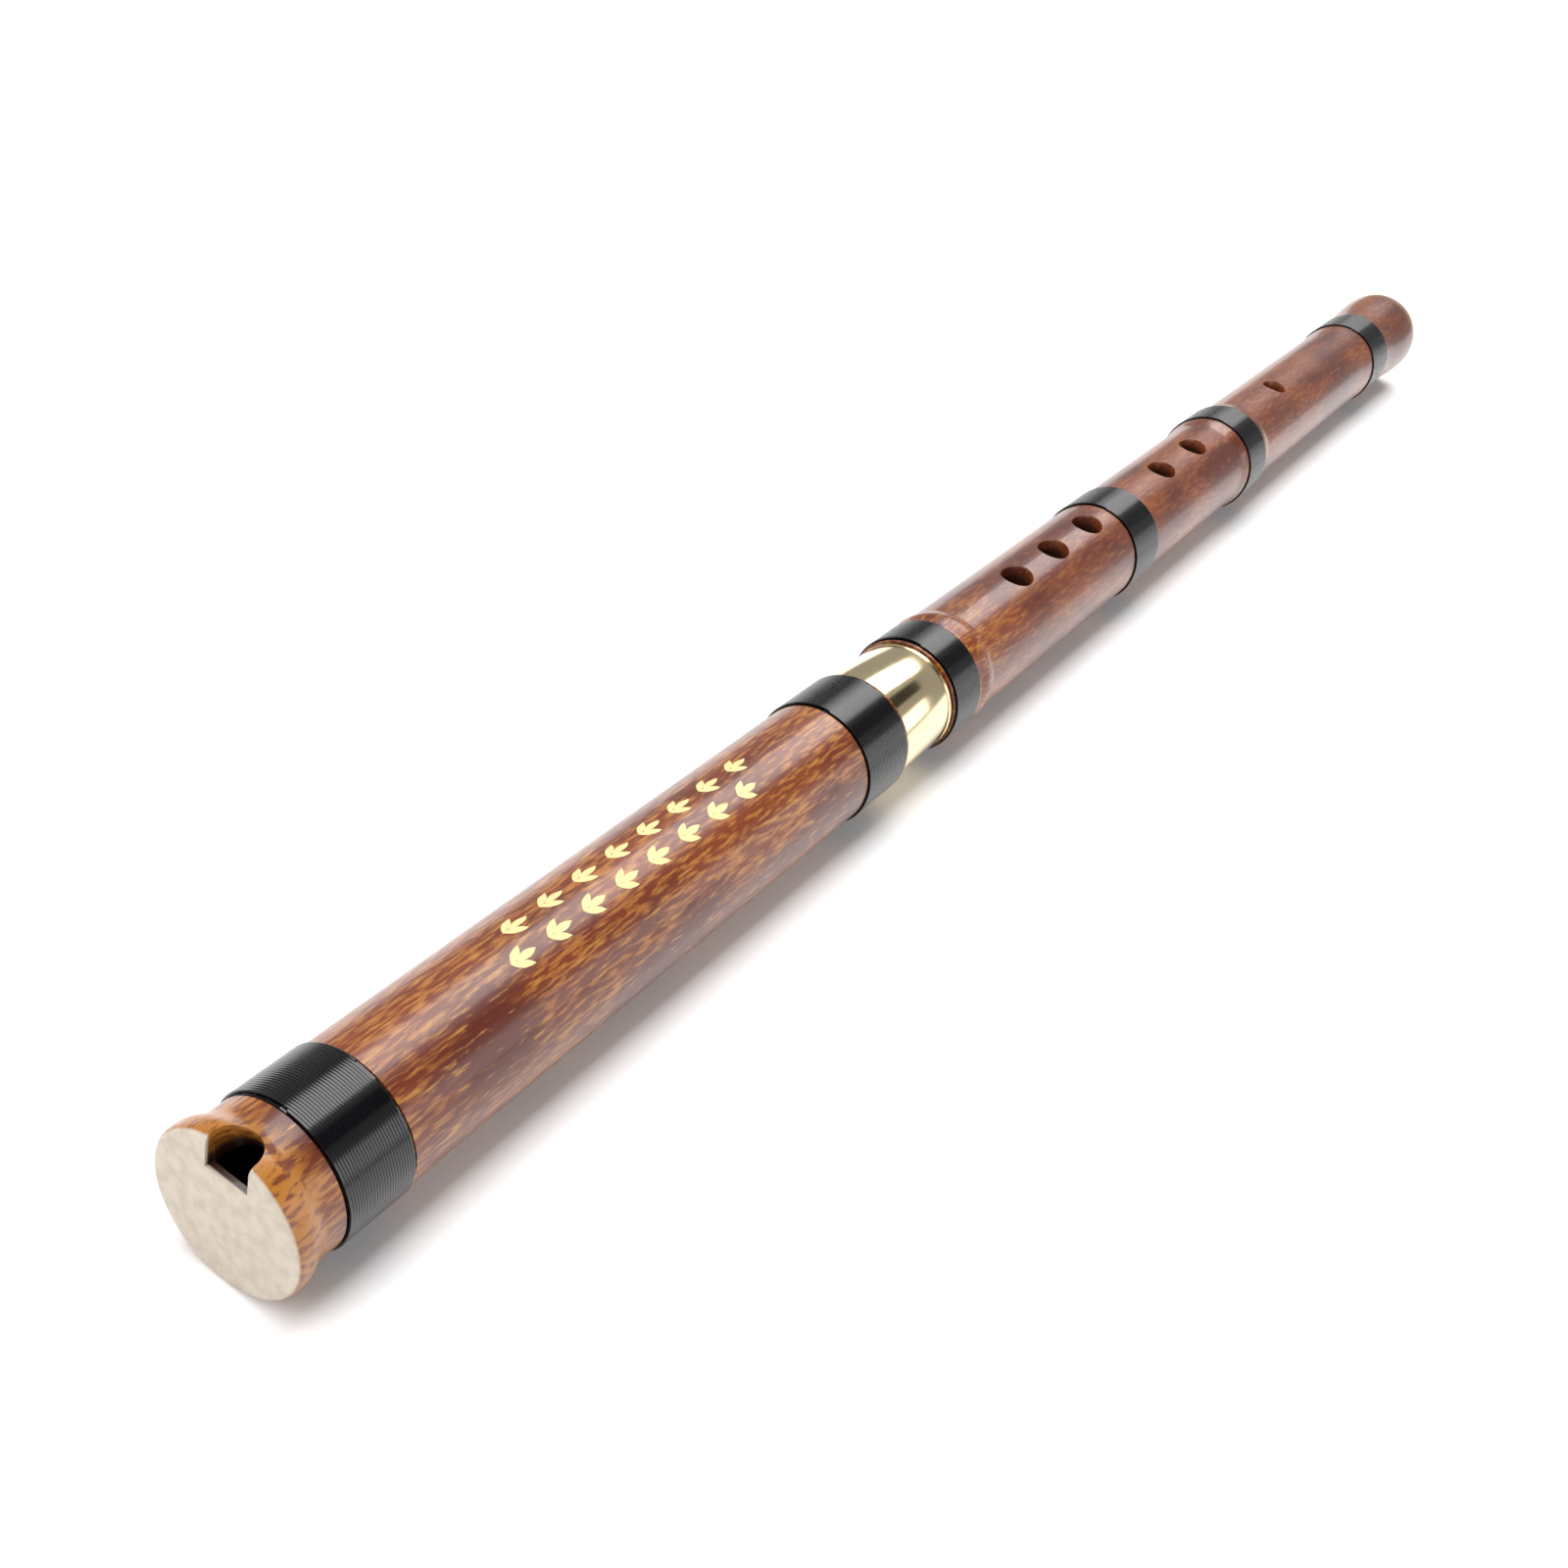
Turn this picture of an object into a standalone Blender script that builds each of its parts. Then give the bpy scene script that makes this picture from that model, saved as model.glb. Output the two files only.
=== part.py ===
"""A two-section xiao: an end-blown bamboo flute with a brass joint and lashed bamboo.

The flute lies along X with the blowing end at -X, the foot at +X and the finger holes up (+Z).
It rests on its two flared rims. The origin is on the surface it lies on, under the middle of
its length. All sizes are in metres.
"""

import math

import bmesh
import bpy
import numpy as np
from mathutils import Matrix, Vector

MM = 0.001

# Bamboo culm
BORE_RADIUS = 8.0 * MM
HEAD_BODY_RADIUS = 13.25 * MM
FOOT_BODY_RADIUS = 13.1 * MM
RIM_RADIUS = 14.6 * MM
RIM_LAND = 1.2 * MM
HEAD_SECTION_LENGTH = 192.8 * MM
FOOT_SECTION_LENGTH = 367.2 * MM

# Blowing end
HEAD_RIM_ROUNDING = 1.3 * MM
HEAD_FLARE_LENGTH = 7.0 * MM
NECK_LENGTH = 10.4 * MM
SEPTUM_THICKNESS = 1.5 * MM
NOTCH_WIDTH = 8.2 * MM
NOTCH_DEPTH = 5.2 * MM
NOTCH_UNDERCUT = 2.4 * MM
NOTCH_FLOOR_DROP = 0.3 * MM

# Foot end
FOOT_RIM_ROUNDING = 2.6 * MM
FOOT_RIM_LAND = 4.0 * MM
FOOT_FLARE_LENGTH = 24.0 * MM
FOOT_SWELL = 0.35 * MM
FOOT_SWELL_LENGTH = 14.0 * MM

# Nodes of the culm
UPPER_NODE_HEIGHT = 0.55 * MM
UPPER_NODE_LENGTH = 7.5 * MM
LOWER_NODE_HEIGHT = 0.65 * MM
LOWER_NODE_LENGTH = 26.0 * MM

# Finger holes, measured from the seam of the joint
FINGER_HOLE_WIDTH = 7.6 * MM
FINGER_HOLE_LENGTH = 9.2 * MM
FIRST_HOLE_FROM_SEAM = 50.9 * MM
UPPER_HOLES = 3
UPPER_HOLE_PITCH = 20.4 * MM
HAND_GAP = 50.3 * MM
LOWER_HOLES = 2
LOWER_HOLE_PITCH = 23.5 * MM
THUMB_HOLE_ABOVE_FIRST = 17.0 * MM

# Vent holes, measured from the foot end
VENT_HOLE_DIAMETER = 7.0 * MM
VENT_FROM_FOOT = 131.0 * MM

# Brass joint
TENON_WALL = 1.0 * MM
TENON_REACH = 32.0 * MM
TENON_ROOT = 18.0 * MM
COLLAR_THICKNESS = 1.0 * MM
JOINT_CLEARANCE = 0.08 * MM
LINER_WALL = 0.8 * MM
LINER_FLANGE = 1.0 * MM
SPIGOT_WALL = 1.5 * MM
FERRULE_WALL = 0.7 * MM
FERRULE_LENGTH = 19.1 * MM
BAMBOO_LIP = 0.5 * MM
BRASS_EDGE = 0.2 * MM

# Lashings: widths along the flute, and where the ones on the foot section lie
HEAD_LASHING_WIDTH = 14.3 * MM
SOCKET_LASHING_WIDTH = 16.4 * MM
TENON_LASHING_WIDTH = 11.8 * MM
MIDDLE_LASHING_WIDTH = 15.7 * MM
LOWER_LASHING_WIDTH = 14.2 * MM
FOOT_LASHING_WIDTH = 17.4 * MM
MIDDLE_LASHING_AFTER_HOLE = 6.5 * MM
LOWER_LASHING_AFTER_HOLE = 18.2 * MM
FOOT_LASHING_FROM_END = 33.8 * MM
LASHING_SEAT_DEPTH = 0.6 * MM
BED_THICKNESS = 0.35 * MM
TURN_WIDTH = 1.5 * MM
TURN_THICKNESS = 0.5 * MM
TURN_SPACING = 0.45 * MM
TURN_SEAT = 0.05 * MM

# Fits and facets
SEAT_GAP = 0.3 * MM
BED_GAP = 0.25 * MM
SIDES = 32
HOLE_SIDES = 24
POINTS_PER_TURN = 24
SWELL_STEPS = 6
ROUNDING_STEPS = 4
TOOL_OVERRUN = 4.0 * MM

# What follows from those sizes
FLAT = math.cos(math.pi / SIDES)
TOTAL_LENGTH = HEAD_SECTION_LENGTH + FOOT_SECTION_LENGTH
AXIS_HEIGHT = RIM_RADIUS * FLAT
SEAM_X = HEAD_SECTION_LENGTH
COLLAR_X = SEAM_X + SEAT_GAP
FOOT_TUBE_X = COLLAR_X + COLLAR_THICKNESS + SEAT_GAP
TENON_RADIUS = BORE_RADIUS + TENON_WALL
LINER_BORE = (TENON_RADIUS + JOINT_CLEARANCE) / FLAT
LINER_RADIUS = LINER_BORE + LINER_WALL
SOCKET_RADIUS = LINER_RADIUS + SEAT_GAP / FLAT
SPIGOT_RADIUS = SOCKET_RADIUS + SPIGOT_WALL
FERRULE_BORE = SPIGOT_RADIUS + SEAT_GAP / FLAT
FERRULE_RADIUS = FERRULE_BORE + FERRULE_WALL
ROOT_SOCKET_RADIUS = (TENON_RADIUS + SEAT_GAP) / FLAT
FERRULE_X = SEAM_X - FERRULE_LENGTH
HEAD_SHOULDER_X = FERRULE_X - SEAT_GAP
LINER_X = SEAM_X - TENON_REACH - SEAT_GAP
FIRST_HOLE_X = SEAM_X + FIRST_HOLE_FROM_SEAM
UPPER_HOLES_X = [FIRST_HOLE_X + i * UPPER_HOLE_PITCH for i in range(UPPER_HOLES)]
LOWER_HOLES_X = [UPPER_HOLES_X[-1] + HAND_GAP + i * LOWER_HOLE_PITCH for i in range(LOWER_HOLES)]
THUMB_HOLE_X = FIRST_HOLE_X - THUMB_HOLE_ABOVE_FIRST
VENT_X = TOTAL_LENGTH - VENT_FROM_FOOT
HEAD_LASHING_X = NECK_LENGTH
SOCKET_LASHING_X = HEAD_SHOULDER_X - BAMBOO_LIP - SOCKET_LASHING_WIDTH
TENON_LASHING_X = FOOT_TUBE_X + BAMBOO_LIP
MIDDLE_LASHING_X = UPPER_HOLES_X[-1] + FINGER_HOLE_LENGTH / 2 + MIDDLE_LASHING_AFTER_HOLE
LOWER_LASHING_X = LOWER_HOLES_X[-1] + FINGER_HOLE_LENGTH / 2 + LOWER_LASHING_AFTER_HOLE
FOOT_LASHING_X = TOTAL_LENGTH - FOOT_LASHING_FROM_END - FOOT_LASHING_WIDTH
UPPER_NODE_X = TENON_LASHING_X + TENON_LASHING_WIDTH + UPPER_NODE_LENGTH / 2
LOWER_NODE_X = LOWER_LASHING_X + LOWER_LASHING_WIDTH / 2


def clear_scene():
    """Remove everything, so that the part starts from an empty scene."""
    for obj in list(bpy.data.objects):
        bpy.data.objects.remove(obj, do_unlink=True)


def material(name, colour, roughness, metallic=0.0):
    """A plain finish."""
    made = bpy.data.materials.new(name)
    made.use_nodes = True
    shader = made.node_tree.nodes["Principled BSDF"]
    shader.inputs["Base Color"].default_value = (*colour, 1.0)
    shader.inputs["Roughness"].default_value = roughness
    shader.inputs["Metallic"].default_value = metallic
    made.diffuse_color = (*colour, 1.0)
    return made


def section(name, x):
    """An empty on the flute's axis that carries one section's pieces."""
    empty = bpy.data.objects.new(name, None)
    empty.location = (x - TOTAL_LENGTH / 2, 0, AXIS_HEIGHT)
    bpy.context.scene.collection.objects.link(empty)
    return empty


def piece(name, bm, parent, parent_x, finish=None):
    """Turn a mesh drawn at its distance from the blowing end into an object under its section."""
    bmesh.ops.recalc_face_normals(bm, faces=bm.faces)
    bmesh.ops.translate(bm, verts=bm.verts, vec=(-parent_x, 0, 0))
    mesh = bpy.data.meshes.new(name)
    bm.to_mesh(mesh)
    bm.free()
    mesh.shade_smooth()
    mesh.set_sharp_from_angle(angle=math.radians(30))
    obj = bpy.data.objects.new(name, mesh)
    obj.parent = parent
    bpy.context.scene.collection.objects.link(obj)
    if finish:
        mesh.materials.append(finish)
    return obj


def turned(outline):
    """A solid turned about the flute's axis from (x, radius) points, with a flat facet underneath."""
    bm = bmesh.new()
    tilt = math.pi / SIDES
    verts = [bm.verts.new((x, r * math.sin(tilt), r * math.cos(tilt))) for x, r in outline]
    pairs = list(zip(verts, verts[1:]))
    if outline[0][1] > 0:
        pairs.append((verts[-1], verts[0]))
    edges = [bm.edges.new(pair) for pair in pairs]
    bmesh.ops.spin(
        bm, geom=verts + edges, cent=(0, 0, 0), axis=(1, 0, 0), angle=math.tau, steps=SIDES, use_merge=True
    )
    bmesh.ops.remove_doubles(bm, verts=bm.verts, dist=1e-7)
    return bm


def rounding(x, radius, size, towards):
    """Points of a rounded outer edge: from the end face at x out to the full radius, or back."""
    angles = [math.pi / 2 * i / ROUNDING_STEPS for i in range(ROUNDING_STEPS + 1)]
    return [
        (x + towards * size * (1 - math.cos(a)), radius - size * (1 - math.sin(a))) for a in angles
    ]


def swell(x0, r0, x1, r1):
    """Points of a smooth change of radius from one place to the next, without the first."""
    points = []
    for i in range(1, SWELL_STEPS + 1):
        share = i / SWELL_STEPS
        ease = 0.5 - 0.5 * math.cos(math.pi * share)
        points.append((x0 + (x1 - x0) * share, r0 + (r1 - r0) * ease))
    return points


def node_ridge(x, length, radius, height):
    """Points of the ridge that a node raises on the culm."""
    top = radius + height
    rise = swell(x - length / 2, radius, x, top)
    return [(x - length / 2, radius)] + rise + swell(x, top, x + length / 2, radius)


def seat(x, width, radius):
    """Points of the shallow groove that a lashing lies in."""
    floor = radius - LASHING_SEAT_DEPTH
    return [(x, radius), (x, floor), (x + width, floor), (x + width, radius)]


def cut(obj, tool_bm, name, parent, parent_x):
    """Cut one tool's shape out of a piece."""
    tool = piece(name, tool_bm, parent, parent_x)
    tool.hide_render = True
    tool.display_type = "WIRE"
    cutter = obj.modifiers.new(name, "BOOLEAN")
    cutter.operation = "DIFFERENCE"
    cutter.solver = "EXACT"
    cutter.object = tool


def hole_tool(x, width, length, low, high):
    """An upright oval prism from height low to height high over the axis."""
    bm = bmesh.new()
    size = Matrix.Diagonal((length / 2, width / 2, high - low, 1))
    place = Matrix.Translation((x, 0, (low + high) / 2))
    turn = Matrix.Rotation(math.pi / HOLE_SIDES, 4, "Z")
    bmesh.ops.create_cone(
        bm, cap_ends=True, segments=HOLE_SIDES, radius1=1, radius2=1, depth=1, matrix=place @ size @ turn
    )
    return bm


def notch_tool():
    """The U-shaped blowing notch: its floor is the septum's edge, and its far wall leans in to the bore."""
    half = NOTCH_WIDTH / 2
    outside = RIM_RADIUS + TOOL_OVERRUN
    floor = BORE_RADIUS - NOTCH_FLOOR_DROP
    levels = [
        (floor - 2 * half * NOTCH_FLOOR_DROP / BORE_RADIUS - half / 2, SEPTUM_THICKNESS, NOTCH_UNDERCUT),
        (floor - NOTCH_FLOOR_DROP / 2, SEPTUM_THICKNESS, NOTCH_UNDERCUT),
        (floor, -TOOL_OVERRUN, NOTCH_UNDERCUT),
        (HEAD_BODY_RADIUS, -TOOL_OVERRUN, 0.0),
        (outside, -TOOL_OVERRUN, 0.0),
    ]
    bm = bmesh.new()
    loops = []
    for z, front, lean in levels:
        centre = NOTCH_DEPTH + lean - half
        arc = [math.pi / 2 - math.pi * i / (HOLE_SIDES // 2) for i in range(HOLE_SIDES // 2 + 1)]
        points = [(centre + half * math.cos(a), half * math.sin(a)) for a in arc]
        points = [(front, half)] + points + [(front, -half)]
        loops.append([bm.verts.new((x, y, z)) for x, y in points])
    for low, high in zip(loops, loops[1:]):
        for i in range(len(low)):
            j = (i + 1) % len(low)
            bm.faces.new((low[i], low[j], high[j], high[i]))
    bm.faces.new(loops[0])
    bm.faces.new(loops[-1])
    return bm


def head_tube(parent, finish):
    """The upper culm: closed at the blowing end by its own septum, bored, and stepped for the brass."""
    radius = HEAD_BODY_RADIUS
    outline = [(0, 0)]
    outline += rounding(0, RIM_RADIUS, HEAD_RIM_ROUNDING, 1)
    flare_x = HEAD_RIM_ROUNDING + RIM_LAND
    outline += [(flare_x, RIM_RADIUS)]
    outline += swell(flare_x, RIM_RADIUS, HEAD_FLARE_LENGTH, radius)
    outline += seat(HEAD_LASHING_X, HEAD_LASHING_WIDTH, radius)
    outline += seat(SOCKET_LASHING_X, SOCKET_LASHING_WIDTH, radius)
    outline += [(HEAD_SHOULDER_X, radius), (HEAD_SHOULDER_X, SPIGOT_RADIUS)]
    spigot_end = SEAM_X - LINER_FLANGE - SEAT_GAP
    outline += [(spigot_end, SPIGOT_RADIUS), (spigot_end, SOCKET_RADIUS)]
    socket_floor = LINER_X - SEAT_GAP
    outline += [(socket_floor, SOCKET_RADIUS), (socket_floor, BORE_RADIUS)]
    outline += [(SEPTUM_THICKNESS, BORE_RADIUS), (SEPTUM_THICKNESS, 0)]
    tube = piece("head_tube", turned(outline), parent, 0, finish)
    cut(tube, notch_tool(), "notch_tool", parent, 0)


def foot_tube(parent, finish):
    """The lower culm: it carries the finger holes, the thumb hole, the vents and the flared foot."""
    radius = FOOT_BODY_RADIUS
    outline = [(FOOT_TUBE_X, ROOT_SOCKET_RADIUS), (FOOT_TUBE_X, radius)]
    outline += seat(TENON_LASHING_X, TENON_LASHING_WIDTH, radius)
    outline += node_ridge(UPPER_NODE_X, UPPER_NODE_LENGTH, radius, UPPER_NODE_HEIGHT)[1:]
    outline += seat(MIDDLE_LASHING_X, MIDDLE_LASHING_WIDTH, radius)
    ridge = node_ridge(LOWER_NODE_X, LOWER_NODE_LENGTH, radius, LOWER_NODE_HEIGHT)
    edges = (LOWER_LASHING_X, LOWER_LASHING_X + LOWER_LASHING_WIDTH)
    shoulder = radius + LOWER_NODE_HEIGHT
    outline += [point for point in ridge if point[0] < edges[0]]
    outline += seat(LOWER_LASHING_X, LOWER_LASHING_WIDTH, shoulder)
    outline += [point for point in ridge if point[0] > edges[1]]
    swollen = radius + FOOT_SWELL
    outline += [(FOOT_LASHING_X - FOOT_SWELL_LENGTH, radius)]
    outline += swell(FOOT_LASHING_X - FOOT_SWELL_LENGTH, radius, FOOT_LASHING_X, swollen)[:-1]
    outline += seat(FOOT_LASHING_X, FOOT_LASHING_WIDTH, swollen)
    land_x = TOTAL_LENGTH - FOOT_RIM_ROUNDING - FOOT_RIM_LAND
    outline += [(land_x - FOOT_FLARE_LENGTH, swollen)]
    outline += swell(land_x - FOOT_FLARE_LENGTH, swollen, land_x, RIM_RADIUS)
    outline += rounding(TOTAL_LENGTH, RIM_RADIUS, FOOT_RIM_ROUNDING, -1)[::-1]
    outline += [(TOTAL_LENGTH, BORE_RADIUS)]
    root_floor = COLLAR_X + TENON_ROOT + SEAT_GAP
    outline += [(root_floor, BORE_RADIUS), (root_floor, ROOT_SOCKET_RADIUS)]
    tube = piece("foot_tube", turned(outline), parent, SEAM_X, finish)
    above = RIM_RADIUS + TOOL_OVERRUN
    for i, x in enumerate(UPPER_HOLES_X + LOWER_HOLES_X, 1):
        tool = hole_tool(x, FINGER_HOLE_WIDTH, FINGER_HOLE_LENGTH, 0, above)
        cut(tube, tool, f"finger_hole_tool_{i}", parent, SEAM_X)
    tool = hole_tool(THUMB_HOLE_X, FINGER_HOLE_WIDTH, FINGER_HOLE_LENGTH, -above, 0)
    cut(tube, tool, "thumb_hole_tool", parent, SEAM_X)
    tool = hole_tool(VENT_X, VENT_HOLE_DIAMETER, VENT_HOLE_DIAMETER, -above, above)
    cut(tube, tool, "vent_tool", parent, SEAM_X)


def socket_ferrule(parent, finish):
    """The brass sleeve that caps the head section's spigot."""
    inner, outer = FERRULE_BORE, FERRULE_RADIUS
    outline = [
        (FERRULE_X, inner),
        (FERRULE_X, outer - BRASS_EDGE),
        (FERRULE_X + BRASS_EDGE, outer),
        (SEAM_X - BRASS_EDGE, outer),
        (SEAM_X, outer - BRASS_EDGE),
        (SEAM_X, inner),
    ]
    piece("socket_ferrule", turned(outline), parent, 0, finish)


def socket_liner(parent, finish):
    """The flanged brass tube inside the head section that the tenon slides and turns in."""
    flange = SPIGOT_RADIUS
    outline = [
        (LINER_X, LINER_BORE),
        (LINER_X, LINER_RADIUS),
        (SEAM_X - LINER_FLANGE, LINER_RADIUS),
        (SEAM_X - LINER_FLANGE, flange),
        (SEAM_X, flange),
        (SEAM_X, LINER_BORE),
    ]
    piece("socket_liner", turned(outline), parent, 0, finish)


def tenon_tube(parent, finish):
    """The brass tenon: its reach slides in the liner, its root sits in the foot section's culm."""
    collar_end = COLLAR_X + COLLAR_THICKNESS
    outline = [
        (SEAM_X - TENON_REACH, BORE_RADIUS),
        (SEAM_X - TENON_REACH, TENON_RADIUS - BRASS_EDGE),
        (SEAM_X - TENON_REACH + BRASS_EDGE, TENON_RADIUS),
        (COLLAR_X, TENON_RADIUS),
        (COLLAR_X, FERRULE_RADIUS),
        (collar_end, FERRULE_RADIUS),
        (collar_end, TENON_RADIUS),
        (COLLAR_X + TENON_ROOT, TENON_RADIUS),
        (COLLAR_X + TENON_ROOT, BORE_RADIUS),
    ]
    piece("tenon_tube", turned(outline), parent, SEAM_X, finish)


def helix_point(angle, x, radius):
    """A point of a winding, turned about the axis from the far side."""
    return Vector((x, radius * math.cos(angle), radius * math.sin(angle)))


def least_gap(centres):
    """The least clear distance between a winding's neighbouring turns, from the points of its middle line."""
    line = np.array([tuple(point) for point in centres])
    gap = math.inf
    for i in range(len(line) - POINTS_PER_TURN // 2):
        others = line[i + POINTS_PER_TURN // 2 :]
        gap = min(gap, float(np.linalg.norm(others - line[i], axis=1).min()))
    return gap - TURN_WIDTH


def wound_thread(name, x, width, bed_radius):
    """One unbroken thread wound side by side over a lashing's bed, its ends run out straight."""
    radius = (bed_radius + TURN_SEAT) / math.cos(math.pi / POINTS_PER_TURN) + TURN_THICKNESS / 2
    span = width - TURN_WIDTH
    turns = int(span / (TURN_WIDTH + TURN_SPACING))
    count = turns * POINTS_PER_TURN
    angles = [math.tau * i / POINTS_PER_TURN for i in range(count + 1)]
    places = [x + TURN_WIDTH / 2 + span * i / count for i in range(count + 1)]
    centres = [helix_point(a, at, radius) for a, at in zip(angles, places)]
    first = helix_point(angles[0] - math.pi / 2, 0, TURN_WIDTH)
    last = helix_point(angles[-1] + math.pi / 2, 0, TURN_WIDTH)
    angles = [angles[0]] + angles + [angles[-1]]
    centres = [centres[0] + first] + centres + [centres[-1] + last]
    along = Vector((TURN_WIDTH / 2, 0, 0))
    bm = bmesh.new()
    rings = []
    for angle, centre in zip(angles, centres):
        out = helix_point(angle, 0, TURN_THICKNESS / 2)
        rings.append([bm.verts.new(centre + side) for side in (along, out, -along, -out)])
    for near, far in zip(rings, rings[1:]):
        for i in range(len(near)):
            j = (i + 1) % len(near)
            bm.faces.new((near[i], near[j], far[j], far[i]))
    bm.faces.new(rings[0])
    bm.faces.new(rings[-1])
    print(f"{name}: {turns} turns, least gap between turns {least_gap(centres) / MM:.2f} mm")
    return bm


def lashing(name, x, width, body_radius, parent, parent_x, finish):
    """A lashing in its groove: a bed of thread laid flat in lacquer, and the outer layer of turns."""
    inner = body_radius - LASHING_SEAT_DEPTH + BED_GAP / FLAT
    outer = inner + BED_THICKNESS
    low, high = x + SEAT_GAP, x + width - SEAT_GAP
    outline = [(low, inner), (low, outer), (high, outer), (high, inner)]
    piece(f"{name}_lashing_bed", turned(outline), parent, parent_x, finish)
    turns = wound_thread(f"{name}_lashing_turns", low, high - low, outer)
    piece(f"{name}_lashing_turns", turns, parent, parent_x, finish)


def build():
    """Make every piece of the flute under the section that carries it."""
    clear_scene()
    bamboo = material("bamboo", (0.28, 0.09, 0.03), 0.3)
    thread = material("lacquered_thread", (0.01, 0.01, 0.012), 0.28)
    brass = material("brass", (0.86, 0.65, 0.32), 0.18, 1.0)
    head = section("head_section", 0)
    tenon = section("tenon_section", SEAM_X)
    foot = section("foot_section", SEAM_X)
    head_tube(head, bamboo)
    socket_ferrule(head, brass)
    socket_liner(head, brass)
    tenon_tube(tenon, brass)
    foot_tube(foot, bamboo)
    on_node = FOOT_BODY_RADIUS + LOWER_NODE_HEIGHT
    on_swell = FOOT_BODY_RADIUS + FOOT_SWELL
    lashing("head", HEAD_LASHING_X, HEAD_LASHING_WIDTH, HEAD_BODY_RADIUS, head, 0, thread)
    lashing("socket", SOCKET_LASHING_X, SOCKET_LASHING_WIDTH, HEAD_BODY_RADIUS, head, 0, thread)
    lashing("tenon", TENON_LASHING_X, TENON_LASHING_WIDTH, FOOT_BODY_RADIUS, foot, SEAM_X, thread)
    lashing("middle", MIDDLE_LASHING_X, MIDDLE_LASHING_WIDTH, FOOT_BODY_RADIUS, foot, SEAM_X, thread)
    lashing("lower", LOWER_LASHING_X, LOWER_LASHING_WIDTH, on_node, foot, SEAM_X, thread)
    lashing("foot", FOOT_LASHING_X, FOOT_LASHING_WIDTH, on_swell, foot, SEAM_X, thread)


build()
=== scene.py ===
"""The looks of a two-section xiao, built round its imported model.

The flute lies along X with its blowing end at -X and its finger holes up. Every size is in metres,
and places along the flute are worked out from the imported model's own boxes.
"""

from __future__ import annotations

import logging
import math
from dataclasses import dataclass, field
from enum import Enum

import bpy
from mathutils import Matrix, Vector


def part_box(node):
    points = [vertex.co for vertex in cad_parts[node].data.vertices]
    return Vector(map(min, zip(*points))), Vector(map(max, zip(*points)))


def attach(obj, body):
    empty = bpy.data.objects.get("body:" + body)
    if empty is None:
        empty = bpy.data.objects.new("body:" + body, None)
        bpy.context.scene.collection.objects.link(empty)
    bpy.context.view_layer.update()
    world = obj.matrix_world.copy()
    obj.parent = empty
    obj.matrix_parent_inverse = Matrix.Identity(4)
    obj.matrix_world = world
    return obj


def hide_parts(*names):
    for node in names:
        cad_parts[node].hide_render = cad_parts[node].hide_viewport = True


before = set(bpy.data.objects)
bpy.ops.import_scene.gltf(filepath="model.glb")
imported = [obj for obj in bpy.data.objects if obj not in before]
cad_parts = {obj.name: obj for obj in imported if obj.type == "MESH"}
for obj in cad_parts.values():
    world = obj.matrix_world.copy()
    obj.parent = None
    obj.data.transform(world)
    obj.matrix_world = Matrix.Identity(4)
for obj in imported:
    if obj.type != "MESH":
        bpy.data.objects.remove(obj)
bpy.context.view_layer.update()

LOG = logging.getLogger("xiao")
MM = 0.001
MERGE = 1e-6
SMOOTH_ANGLE = math.radians(35)

CAD_SIDES = 32
HEAD_LASHINGS = ("head", "socket")
FOOT_LASHINGS = ("tenon", "middle", "lower", "foot")

Outline = list[tuple[float, float]]
Colour = tuple[float, float, float]
Scale = tuple[float, float, float]
Span = tuple[float, float]


def middle_height(node: str) -> float:
    """Height of the middle of a round node, which is the height of the flute's axis."""
    low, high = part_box(node)
    return (low.z + high.z) / 2


AXIS_Z = middle_height("socket_ferrule")
FACE_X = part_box("head_tube")[0].x
FOOT_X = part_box("foot_tube")[1].x
RIM_RADIUS = AXIS_Z / math.cos(math.pi / CAD_SIDES)


class Section(Enum):
    """The bodies that the pieces ride on."""

    HEAD = "head_section"
    TENON = "tenon"
    FOOT = "foot_section"


# Shaping helpers


def deselect() -> None:
    """Leave nothing selected, so that the next operator acts on one piece alone."""
    bpy.ops.object.select_all(action="DESELECT")


def current(name: str) -> bpy.types.Object:
    """Name the active object and its mesh, and return it."""
    piece = bpy.context.active_object
    piece.name = name
    piece.data.name = name
    return piece


def settle_transform() -> None:
    """Put the active object's place, turn and scale into its mesh."""
    bpy.ops.object.transform_apply(location=True, rotation=True, scale=True)


def tidy_mesh() -> None:
    """Merge doubles, close holes and point the faces outwards, then leave edit mode."""
    bpy.ops.mesh.select_all(action="SELECT")
    bpy.ops.mesh.remove_doubles(threshold=MERGE)
    bpy.ops.mesh.fill_holes(sides=0)
    bpy.ops.mesh.normals_make_consistent(inside=False)
    bpy.ops.object.mode_set(mode="OBJECT")


def turn(name: str, outline: Outline, sides: int = 96) -> bpy.types.Object:
    """Model a round piece by extruding and resizing one ring along its outline.

    Args:
        name: The piece's name.
        outline: Its points as (x, radius), with x along the flute, in order round the wall.
        sides: How many sides the ring has.

    Returns:
        The closed piece.
    """
    deselect()
    x, radius = outline[0]
    bpy.ops.mesh.primitive_circle_add(
        vertices=sides, radius=radius, location=(x, 0, AXIS_Z), rotation=(0, math.pi / 2, 0)
    )
    piece = current(name)
    settle_transform()
    bpy.ops.object.mode_set(mode="EDIT")
    bpy.ops.mesh.select_all(action="SELECT")
    for next_x, next_radius in outline[1:]:
        step = (next_x - x, 0, 0)
        bpy.ops.mesh.extrude_edges_move(TRANSFORM_OT_translate={"value": step})
        grow = next_radius / radius
        bpy.ops.transform.resize(value=(1, grow, grow), center_override=(next_x, 0, AXIS_Z))
        x, radius = next_x, next_radius
    tidy_mesh()
    bpy.ops.object.shade_smooth_by_angle(angle=SMOOTH_ANGLE)
    return piece


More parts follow.
